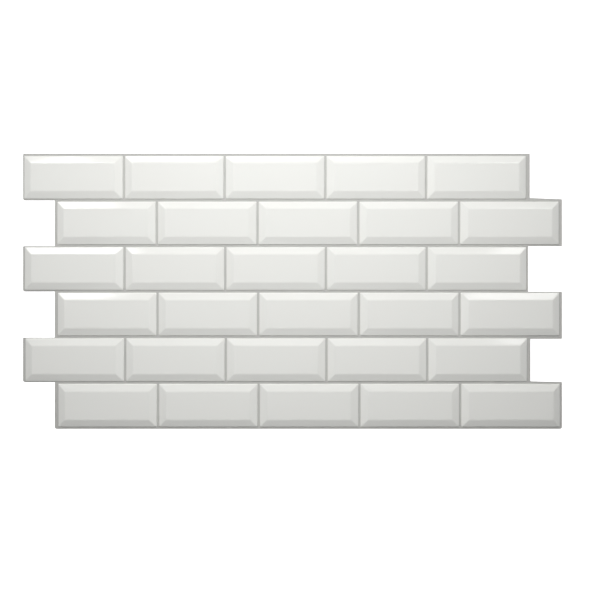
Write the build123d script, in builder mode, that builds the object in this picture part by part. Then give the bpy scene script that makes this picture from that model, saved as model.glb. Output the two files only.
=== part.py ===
from build123d import *
import math
import os

# A wall panel: one thin PVC sheet, vacuum formed over a mould of bevelled wall tiles and cut to shape.
# It lies on its back. X runs along the rows of tiles, Y runs up the wall, and Z comes off the wall.
# The origin is the middle of the sheet, on the plane of its back.

# The sheet, and its whole depth from the back to the level faces of the tiles.
sheet_thickness = 0.4
relief = 6.0

# The bond. Rows are counted down from the top. Each second row stands further right by row_shift,
# and the mould sits a little askew under the cutting die, so each row also drifts right by row_drift.
row_count = 6
tile_count = 5
row_pitch = 80.7
tile_pitch = 178.4
row_shift = 57.8
row_drift = 0.5
grout_width = 3.8
bed_width = 4.7

# One tile: a steep foot wall that rounds out of the flat sheet, a small rolled lip, a broad bevel that
# meets its neighbours at mitred hips, and a soft edge to the level face.
foot_height = 1.9
foot_draft = 14.0
foot_radius = 0.5
bevel_width = 13.1
lip_radius = 1.0
edge_radius = 9.0

# The flat edge that the cutting die leaves beyond the outermost tiles.
left_rim = 2.5
right_flange = 6.0
top_flange = 4.7
bottom_rim = 3.8
notch_rim = 4.5
cut_corner_radius = 3.5
tab_corner_radius = 1.2

# The same edge beside each tab, from the uppermost tab down. A right tab narrows towards its end,
# and each odd row ends in a flange on the right, at the foot of the step or notch there.
left_tab_upper = (top_flange, 2.1, 1.5)
left_tab_lower = (2.6, 2.6, 1.7)
right_tab_upper = (7.0, 2.1, 5.0)
right_tab_lower = (3.1, 5.8, bottom_rim)
right_tab_taper = (2.4, 0.1, 1.6)
step_flanges = (7.3, 3.3, 6.4)

tile_length = tile_pitch - grout_width
tile_height = row_pitch - bed_width
row_length = tile_count * tile_pitch - grout_width
sheet_length = left_rim + row_shift + row_drift + row_length + right_flange
sheet_height = top_flange + row_count * row_pitch - bed_width + bottom_rim
left_edge = -sheet_length / 2
right_edge = sheet_length / 2
top_edge = sheet_height / 2
bottom_edge = -sheet_height / 2


def row_left(row):
    """Where the first tile of a row begins."""
    return left_edge + left_rim + (row % 2) * row_shift + row * row_drift


def row_top(row):
    """The upper foot of a row's tiles."""
    return top_edge - top_flange - row * row_pitch


def row_right(row):
    """Where the last tile of a row ends."""
    return row_left(row) + row_length


def tile_places():
    """The middle of each tile of the bond."""
    for row in range(row_count):
        for tile in range(tile_count):
            yield (row_left(row) + tile * tile_pitch + tile_length / 2, row_top(row) - tile_height / 2)


def tile_section(half_width, skin):
    """The section across a tile, drawn in from its outer surface by the thickness of the skin."""
    depth_below = 2 * skin
    draft = math.tan(math.radians(foot_draft))
    lip_half_width = half_width - foot_height * draft
    base_half_width = half_width + depth_below * draft
    with BuildSketch() as section:
        with BuildLine():
            Polyline(
                (-base_half_width, -depth_below),
                (-lip_half_width, foot_height),
                (bevel_width - half_width, relief),
                (half_width - bevel_width, relief),
                (lip_half_width, foot_height),
                (base_half_width, -depth_below),
                close=True,
            )
        make_face()
        if skin:
            offset(amount=-skin, kind=Kind.INTERSECTION)
        lips, face_edges = section.vertices().group_by(Axis.Y)[-2:]
        fillet(lips, lip_radius - skin)
        fillet(face_edges, edge_radius - skin)
    return section.sketch


def tile_body(skin):
    """One tile, drawn in by the skin: where its long section and its cross section, drawn out, meet."""
    with BuildPart() as body:
        with BuildSketch(Plane.XZ):
            add(tile_section(tile_length / 2, skin))
        extrude(amount=tile_height, both=True)
        with BuildSketch(Plane.YZ):
            add(tile_section(tile_height / 2, skin))
        extrude(amount=tile_length, both=True, mode=Mode.INTERSECT)
    return body.part


def band(left, right, upper, lower, taper=0):
    """A straight stretch of the blank, whose upper edge may fall towards the right."""
    Polygon((left, lower), (right, lower), (right, upper - taper), (left, upper), align=None)


tile_outside = tile_body(0)
tile_hollow = tile_body(sheet_thickness)

# The sheet: the flat blank as the die cuts it, with the tiles raised on it and hollow behind.
with BuildPart() as panel_sheet:
    with BuildSketch() as blank:
        field_left = row_left(1) - notch_rim
        field_right = row_right(0)
        band(field_left, field_right, top_edge, bottom_edge)
        for row in range(row_count):
            tab = row // 2
            upper_foot = row_top(row)
            lower_foot = upper_foot - tile_height
            if row % 2 == 0:
                tab_top = upper_foot + left_tab_upper[tab % len(left_tab_upper)]
                tab_bottom = lower_foot - left_tab_lower[tab % len(left_tab_lower)]
                band(left_edge, field_left, tab_top, tab_bottom)
                flange_end = row_right(row) + step_flanges[tab % len(step_flanges)]
                band(field_left, flange_end, min(upper_foot + bed_width, top_edge), lower_foot - bed_width)
            else:
                tab_top = upper_foot + right_tab_upper[tab % len(right_tab_upper)]
                tab_bottom = lower_foot - right_tab_lower[tab % len(right_tab_lower)]
                band(field_right, right_edge, tab_top, tab_bottom, right_tab_taper[tab % len(right_tab_taper)])
        left_ends = blank.vertices().group_by(Axis.X)[0].sort_by(Axis.Y)
        foot_corners = blank.vertices().group_by(Axis.Y)[0]
        fillet(left_ends[0::2] + foot_corners, cut_corner_radius)
        left_ends = blank.vertices().group_by(Axis.X)[0].sort_by(Axis.Y)
        right_ends = blank.vertices().group_by(Axis.X)[-1].sort_by(Axis.Y)
        fillet(left_ends[1::2] + right_ends[1:], tab_corner_radius)
    extrude(amount=sheet_thickness)
    with Locations(*tile_places()):
        add(tile_outside)
    with Locations(*tile_places()):
        add(tile_hollow, mode=Mode.SUBTRACT)
    front = panel_sheet.faces().filter_by(Axis.Z).group_by(Axis.Z)[1][0]
    fillet([edge for foot in front.inner_wires() for edge in foot.edges()], foot_radius)
    back = panel_sheet.faces().filter_by(Axis.Z).group_by(Axis.Z)[0][0]
    fillet([edge for foot in back.inner_wires() for edge in foot.edges()], foot_radius + sheet_thickness)

panel_sheet.part.label = "panel_sheet"

os.makedirs("parts", exist_ok=True)
export_step(panel_sheet.part, "parts/panel_sheet.step")
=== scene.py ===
import math

import bmesh
import bpy
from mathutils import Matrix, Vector


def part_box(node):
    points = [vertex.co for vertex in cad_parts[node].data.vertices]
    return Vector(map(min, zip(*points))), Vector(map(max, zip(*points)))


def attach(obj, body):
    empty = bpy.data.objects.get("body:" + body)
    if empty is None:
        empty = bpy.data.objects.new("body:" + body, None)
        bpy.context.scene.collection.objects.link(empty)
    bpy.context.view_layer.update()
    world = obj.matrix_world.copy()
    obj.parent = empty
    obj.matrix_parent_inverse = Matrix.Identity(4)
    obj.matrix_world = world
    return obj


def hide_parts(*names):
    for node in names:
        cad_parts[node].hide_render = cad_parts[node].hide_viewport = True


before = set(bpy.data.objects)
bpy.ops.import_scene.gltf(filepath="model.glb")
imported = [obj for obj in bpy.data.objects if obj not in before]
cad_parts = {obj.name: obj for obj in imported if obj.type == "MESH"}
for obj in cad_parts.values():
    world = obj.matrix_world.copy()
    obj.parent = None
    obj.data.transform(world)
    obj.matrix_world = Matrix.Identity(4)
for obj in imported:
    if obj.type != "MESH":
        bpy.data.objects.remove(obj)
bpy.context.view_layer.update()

# The blank. The real sheet is cut from calendered rigid PVC, and a steel-rule die trims it to the
# staggered outline, with a flat flange at the top and right that the next sheet's edge laps over.
MM = 0.001
low_corner, high_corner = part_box("panel_sheet")
left_edge, bottom_edge = low_corner.x, low_corner.y
right_edge, top_edge = high_corner.x, high_corner.y
face_level = high_corner.z
sheet_thickness = 0.4 * MM

row_count = 6
tile_count = 5
row_pitch = 80.7 * MM
tile_pitch = 178.4 * MM
row_shift = 57.8 * MM
row_drift = 0.5 * MM
grout_width = 3.8 * MM
bed_width = 4.7 * MM
tile_length = tile_pitch - grout_width
tile_height = row_pitch - bed_width
row_length = tile_count * tile_pitch - grout_width

# The flat edge beyond the outermost tiles, and beside the tabs from the uppermost down. The first tab
# on the left runs up to the top of the sheet, and the last one on the right runs down to its foot.
left_rim = 2.5 * MM
top_flange = 4.7 * MM
notch_rim = 4.5 * MM
step_flanges = (7.3 * MM, 3.3 * MM, 6.4 * MM)
left_tab_lower = (2.6 * MM, 2.6 * MM, 1.7 * MM)
left_tab_upper = (2.1 * MM, 1.5 * MM)
right_tab_upper = (7.0 * MM, 2.1 * MM, 5.0 * MM)
right_tab_lower = (3.1 * MM, 5.8 * MM)
right_tab_taper = (2.4 * MM, 0.1 * MM, 1.6 * MM)
die_corner = 3.5 * MM
tab_corner = 1.2 * MM
corner_steps = 5
overcut = 1 * MM
TOUCH = 0.01 * MM


def row_left(row):
    return left_edge + left_rim + (row % 2) * row_shift + row * row_drift


def row_right(row):
    return row_left(row) + row_length


def row_top(row):
    return top_edge - top_flange - row * row_pitch


def faces_in(sheet, left, right, lower, upper):
    """The faces whose middle lies in a rectangle of the plan."""
    middles = [(face, face.calc_center_median()) for face in sheet.faces]
    return [f for f, m in middles if left < m.x < right and lower < m.y < upper]


def score(sheet, faces, along, at):
    """Cuts some faces along a straight line: along "X" at a height, or along "Y" at a distance."""
    edges = {edge for face in faces for edge in face.edges}
    corners = {corner for face in faces for corner in face.verts}
    point = (0, at, 0) if along == "X" else (at, 0, 0)
    normal = (0, 1, 0) if along == "X" else (1, 0, 0)
    bmesh.ops.bisect_plane(
        sheet, geom=[*faces, *edges, *corners], dist=TOUCH, plane_co=point, plane_no=normal
    )


half_unit = 0.5
sheet = bmesh.new()
bmesh.ops.create_grid(sheet, x_segments=1, y_segments=1, size=half_unit)
bmesh.ops.scale(sheet, vec=(right_edge - left_edge, top_edge - bottom_edge, 1), verts=sheet.verts)
bmesh.ops.translate(
    sheet,
    vec=((left_edge + right_edge) / 2, (bottom_edge + top_edge) / 2, sheet_thickness),
    verts=sheet.verts,
)
field_left = row_left(1) - notch_rim
score(sheet, sheet.faces[:], "Y", field_left)

# Left of the field, the gaps between the tabs of rows 1, 3 and 5 fall away.
for tab in range(row_count // 2):
    row = 2 * tab
    gap_top = row_top(row) - tile_height - left_tab_lower[tab]
    gap_bottom = bottom_edge - overcut
    if row + 2 < row_count:
        gap_bottom = row_top(row + 2) + left_tab_upper[tab]
    for level in (gap_top, gap_bottom):
        margin = faces_in(sheet, left_edge, field_left, bottom_edge, top_edge)
        score(sheet, margin, "X", level)
    offcut = faces_in(sheet, left_edge, field_left, gap_bottom, gap_top)
    bmesh.ops.delete(sheet, geom=offcut, context="FACES")

# On the right, each odd row ends in a flange, and the tabs of rows 2, 4 and 6 stand out beyond it. The
# upper edge of each tab falls a little towards its end.
tab_root = row_right(0)
tab_reach = right_edge - tab_root
for tab in range(row_count // 2):
    row = 2 * tab
    flange_end = row_right(row) + step_flanges[tab]
    gap_top = top_edge + overcut
    if row:
        gap_top = row_top(row - 1) - tile_height - right_tab_lower[tab - 1]
    gap_bottom = row_top(row + 1) + right_tab_upper[tab]
    for level in (gap_top, gap_bottom):
        field = faces_in(sheet, field_left, right_edge, bottom_edge, top_edge)
        score(sheet, field, "X", level)
    score(sheet, faces_in(sheet, field_left, right_edge, gap_bottom, gap_top), "Y", flange_end)
    offcut = faces_in(sheet, flange_end, right_edge, gap_bottom, gap_top)
    bmesh.ops.delete(sheet, geom=offcut, context="FACES")
    for corner in sheet.verts:
        if abs(corner.co.y - gap_bottom) < TOUCH and corner.co.x > flange_end - TOUCH:
            corner.co.y -= right_tab_taper[tab] * (corner.co.x - tab_root) / tab_reach

# What is left is one flat blank, whose outer corners the die rounds: broadly where the knife turns
# under the left-hand tabs and along the foot, and hardly at all elsewhere.
straight_on = math.radians(1)
bmesh.ops.dissolve_limit(sheet, angle_limit=straight_on, verts=sheet.verts, edges=sheet.edges)


def corners_at(sheet, side):
    """The corners on the left or right edge of the sheet, from its foot up."""
    return sorted((v for v in sheet.verts if abs(v.co.x - side) < TOUCH), key=lambda v: v.co.y)


def round_corners(sheet, corners, radius):
    bmesh.ops.bevel(
        sheet,
        geom=corners,
        offset=radius,
        offset_type="OFFSET",
        segments=corner_steps,
        profile=0.5,
        affect="VERTICES",
        material=-1,
    )


foot_corners = [v for v in sheet.verts if v.co.y < bottom_edge + TOUCH]
round_corners(sheet, corners_at(sheet, left_edge)[0::2] + foot_corners, die_corner)
tab_corners = corners_at(sheet, left_edge)[1::2] + corners_at(sheet, right_edge)[1:]
round_corners(sheet, tab_corners, tab_corner)

# The tiles are drawn up out of the blank over the mould: a steep foot wall, then the broad bevel up to
# the level face. Heat and vacuum leave every edge softly rolled.
foot_height = 1.9 * MM
foot_draft = math.radians(14)
bevel_width = 13.1 * MM
lip_inset = foot_height * math.tan(foot_draft)

for row in range(row_count):
    for level in (row_top(row), row_top(row) - tile_height):
        score(sheet, sheet.faces[:], "X", level)
tiles = []
for row in range(row_count):
    lower, upper = row_top(row) - tile_height, row_top(row)
    tile_lefts = [row_left(row) + tile * tile_pitch for tile in range(tile_count)]
    for left in tile_lefts:
        for side in (left, left + tile_length):
            score(sheet, faces_in(sheet, left_edge, right_edge, lower, upper), "Y", side)
    for left in tile_lefts:
        tiles += faces_in(sheet, left, left + tile_length, lower, upper)

# How broadly each fold is rolled: the upright corners of the tiles the most, and the foot the least.
foot_roll = 0.4 * MM
lip_roll = 0.56 * MM
corner_roll = 2.0 * MM
hip_roll = 1.2 * MM
face_roll = 1.44 * MM
roll_steps = 4
weight = sheet.edges.layers.float.new("bevel_weight_edge")


def roll(edges, width):
    """Marks the edges of a fold: a bevel weight is a share of the broadest roll."""
    for edge in edges:
        edge[weight] = width / corner_roll


def rising(face):
    """The edges of a sloping face that run up the slope."""
    return [edge for edge in face.edges if abs(edge.verts[0].co.z - edge.verts[1].co.z) > TOUCH]


for tile in tiles:
    roll(tile.edges, foot_roll)
raised = bmesh.ops.inset_individual(
    sheet,
    faces=tiles,
    thickness=lip_inset,
    depth=foot_height - sheet_thickness,
    use_even_offset=True,
)
for tile in tiles:
    roll(tile.edges, lip_roll)
for foot_wall in raised["faces"]:
    roll(rising(foot_wall), corner_roll)
raised = bmesh.ops.inset_individual(
    sheet,
    faces=tiles,
    thickness=bevel_width - lip_inset,
    depth=face_level - foot_height,
    use_even_offset=True,
)
for tile in tiles:
    roll(tile.edges, face_roll)
for bevel in raised["faces"]:
    roll(rising(bevel), hip_roll)

# The folds are rolled and the thin wall is given its thickness, behind the faces that were shaped and
# no further than the plane that the sheet is glued to. The two empty slots are for the printed front
# and the bare back.
mesh = bpy.data.meshes.new("formed_sheet")
sheet.to_mesh(mesh)
sheet.free()
front_slot, back_slot = 0, 1
for slot in (front_slot, back_slot):
    mesh.materials.append(None)
formed = bpy.data.objects.new("formed_sheet", mesh)
bpy.context.scene.collection.objects.link(formed)
rolled = formed.modifiers.new("rolled_folds", "BEVEL")
rolled.limit_method = "WEIGHT"
rolled.offset_type = "OFFSET"
rolled.width = corner_roll
rolled.segments = roll_steps
rolled.use_clamp_overlap = False
all_behind = -1
wall = formed.modifiers.new("wall", "SOLIDIFY")
wall.thickness = sheet_thickness
wall.offset = all_behind
wall.use_even_offset = True
wall.material_offset = back_slot
wall.material_offset_rim = back_slot
mesh = bpy.data.meshes.new_from_object(formed.evaluated_get(bpy.context.evaluated_depsgraph_get()))
bpy.data.objects.remove(formed)
back_plane = 0
for corner in mesh.vertices:
    corner.co.z = max(corner.co.z, back_plane)
for face in mesh.polygons:
    face.use_smooth = True
cut_edge_angle = math.radians(40)
mesh.set_sharp_from_angle(angle=cut_edge_angle)
panel = bpy.data.objects.new("wall_sheet", mesh)
bpy.context.scene.collection.objects.link(panel)
level_faces = panel.modifiers.new("level_faces", "WEIGHTED_NORMAL")
level_faces.mode = "FACE_AREA"
level_faces.keep_sharp = True
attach(panel, "root")
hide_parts("panel_sheet")


# The finish. The PVC is white right through and glossy in front, and the grout is a light grey matt ink
# printed on the low parts of the sheet before it is formed. The ink ends a little way up each foot wall.
class Value:
    """A socket that reads like a number: an expression on it adds the Math nodes."""

    def __init__(self, tree, socket):
        self.tree = tree
        self.socket = socket

    def node(self, kind, settings=None, inputs=None, output=0):
        made = self.tree.nodes.new(kind)
        for name, setting in (settings or {}).items():
            setattr(made, name, setting)
        for name, value in (inputs or {}).items():
            if isinstance(value, Value):
                self.tree.links.new(value.socket, made.inputs[name])
            else:
                made.inputs[name].default_value = value
        return Value(self.tree, made.outputs[output])

    def math(self, operation, *values):
        settings = {"operation": operation}
        return self.node("ShaderNodeMath", settings, dict(enumerate(values)))

    def __add__(self, other):
        return self.math("ADD", self, other)

    def __sub__(self, other):
        return self.math("SUBTRACT", self, other)

    def __mul__(self, other):
        return self.math("MULTIPLY", self, other)

    def __truediv__(self, other):
        return self.math("DIVIDE", self, other)

    def __rsub__(self, other):
        return self.math("SUBTRACT", other, self)

    def __rtruediv__(self, other):
        return self.math("DIVIDE", other, self)

    __radd__ = __add__
    __rmul__ = __mul__

    def clamp(self):
        return self.math("MAXIMUM", self.math("MINIMUM", self, 1.0), 0.0)

    def noise(self, scale, detail=0):
        """Noise over this place, with so many waves to a metre."""
        return self.node("ShaderNodeTexNoise", inputs={"Vector": self, "Scale": scale, "Detail": detail})

    def mix(self, share, first, second):
        settings = {"data_type": "RGBA"}
        return self.node("ShaderNodeMix", settings, {0: share, 6: first, 7: second}, output=2)


def new_material(name):
    material = bpy.data.materials.new(name)
    material.use_nodes = True
    return material, material.node_tree, material.node_tree.nodes["Principled BSDF"]


material, tree, shader = new_material("printed_pvc")
place = Value(tree, tree.nodes.new("ShaderNodeTexCoord").outputs["Object"])
height = place.node("ShaderNodeSeparateXYZ", inputs={"Vector": place}, output=2)

white = (0.852, 0.859, 0.824, 1)
warm_white = (0.858, 0.856, 0.821, 1)
grout_grey = (0.515, 0.512, 0.493, 1)
dark_grout = (0.47, 0.467, 0.448, 1)
ink_top = 0.55 * MM
ink_fade = 0.15 * MM
ink_edge = ink_top + (place.noise(700) - 0.5) * ink_fade
ink = ((ink_edge - height) / ink_fade + 0.5).clamp()
grain = place.noise(1900, detail=3)
speckle_start = 0.4
speckle_contrast = 4
speckle = ((grain - speckle_start) * speckle_contrast).clamp()
print_tone = place.mix(speckle, grout_grey, dark_grout)
pvc = place.mix(place.noise(9, detail=1), white, warm_white)
tree.links.new(place.mix(ink, pvc, print_tone).socket, shader.inputs["Base Color"])

gloss_roughness = 0.1
rub_spread = 0.04
ink_roughness = 0.55
rubbed = gloss_roughness + (place.noise(45) - 0.5) * rub_spread
roughness = ink * (ink_roughness - rubbed) + rubbed
tree.links.new(roughness.socket, shader.inputs["Roughness"])

wave_depth = 0.08 * MM
peel_depth = 0.004 * MM
grain_depth = 0.02 * MM
drawn_waves = place.noise(22) * wave_depth
orange_peel = place.noise(330, detail=1) * peel_depth
ink_grain = grain * ink * grain_depth
bump = place.node(
    "ShaderNodeBump", inputs={"Height": drawn_waves + orange_peel + ink_grain, "Distance": 1.0}
)
tree.links.new(bump.socket, shader.inputs["Normal"])
mesh.materials[front_slot] = material

# The back is the same PVC without ink or polish, with the fine grain that the calender rolls leave.
material, tree, shader = new_material("bare_pvc")
place = Value(tree, tree.nodes.new("ShaderNodeTexCoord").outputs["Object"])
bare_white = (0.80, 0.80, 0.775, 1)
shaded_white = (0.775, 0.776, 0.755, 1)
tree.links.new(place.mix(place.noise(30), bare_white, shaded_white).socket, shader.inputs["Base Color"])
bare_roughness = 0.42
bare_spread = 0.12
roughness = bare_roughness + place.noise(160) * bare_spread
tree.links.new(roughness.socket, shader.inputs["Roughness"])
calender_depth = 0.015 * MM
calender_grain = place.noise(900, detail=2) * calender_depth
bump = place.node("ShaderNodeBump", inputs={"Height": calender_grain, "Distance": 1.0})
tree.links.new(bump.socket, shader.inputs["Normal"])
mesh.materials[back_slot] = material


def shown_rays(tree):
    """1 for the rays that show the room itself: to the camera, in gloss and through clear things."""
    rays = tree.nodes.new("ShaderNodeLightPath")
    kinds = ("Is Camera Ray", "Is Glossy Ray", "Is Transmission Ray")
    return sum(Value(tree, rays.outputs[kind]) for kind in kinds).clamp()


# The floor: a plain white sheet that the panel lies on. It shows white to the camera and in gloss,
# and still takes the soft shadow under the panel's edges.
floor_size = 2.8
floor_gap = 0.05 * MM
bpy.ops.mesh.primitive_plane_add(size=floor_size, location=(0, 0, -floor_gap))
floor = bpy.context.object
floor.name = "floor"
material, tree, shader = new_material("floor_white")
floor.data.materials.append(material)
floor_white = (0.8, 0.8, 0.8, 1)
floor_roughness = 0.9
floor_glow = 0.88
shader.inputs["Base Color"].default_value = floor_white
shader.inputs["Roughness"].default_value = floor_roughness
shader.inputs["Specular IOR Level"].default_value = 0.0
shader.inputs["Emission Color"].default_value = (1, 1, 1, 1)
tree.links.new((shown_rays(tree) * floor_glow).socket, shader.inputs["Emission Strength"])


# The light. The near and the over box give most of it, and leave no reflection, as behind a polariser.
# The key box stands far beyond the top of the panel, and a weak one in front of it. The reflections of
# the two boxes at the sides whiten the upper bevels there. The last box lights the bare back, where the
# panel is seen without the floor.
def soft_box(name, at, size, radiance, reflected=True):
    """A rectangular lamp that faces the middle of the panel."""
    light = bpy.data.lights.new(name, "AREA")
    light.shape = "RECTANGLE"
    light.size, light.size_y = size
    light.energy = radiance * math.pi * size[0] * size[1]
    box = bpy.data.objects.new(name, light)
    bpy.context.scene.collection.objects.link(box)
    box.location = at
    to_middle = Vector((0, 0, 0)) - Vector(at)
    box.rotation_euler = to_middle.to_track_quat("-Z", "Y").to_euler()
    box.visible_camera = False
    box.visible_glossy = reflected


soft_box("key", at=(-0.15, 2.0, 1.3), size=(1.4, 0.4), radiance=7.9)
soft_box("near_box", at=(0, 0.55, 0.8), size=(0.7, 0.35), radiance=5.3, reflected=False)
soft_box("over_box", at=(0, 0, 1.3), size=(1.2, 0.8), radiance=1.94, reflected=False)
soft_box("front_box", at=(-0.2, -0.9, 1.3), size=(1.2, 0.4), radiance=0.48)
soft_box("left_box", at=(-0.98, 1.22, 1.3), size=(0.46, 0.56), radiance=7.5)
soft_box("right_box", at=(0.92, 0.98, 1.3), size=(0.34, 0.4), radiance=4.3)
soft_box("under_box", at=(0, -0.3, -1.3), size=(1.2, 1.2), radiance=3)

# The room is nearly dark for the panel, and white where the camera or a reflection shows it.
world = bpy.data.worlds.new("room")
bpy.context.scene.world = world
world.use_nodes = True
tree = world.node_tree
background = tree.nodes["Background"]
background.inputs["Color"].default_value = (1, 1, 1, 1)
room_level = 0.01
strength = shown_rays(tree) * (1 - room_level) + room_level
tree.links.new(strength.socket, background.inputs["Strength"])

# The camera looks straight down on the middle of the picture, which lies a little beside the
# panel's own middle.
camera_height = 1.2
film_width = 36
picture_width = 1063.3 * MM
picture_middle = (13.3 * MM, -15.6 * MM)
camera = bpy.data.objects.new("camera", bpy.data.cameras.new("camera"))
bpy.context.scene.collection.objects.link(camera)
camera.location = (*picture_middle, camera_height)
camera.data.sensor_width = film_width
camera.data.lens = film_width * camera_height / picture_width
bpy.context.scene.camera = camera

bpy.context.scene.view_settings.view_transform = "Standard"
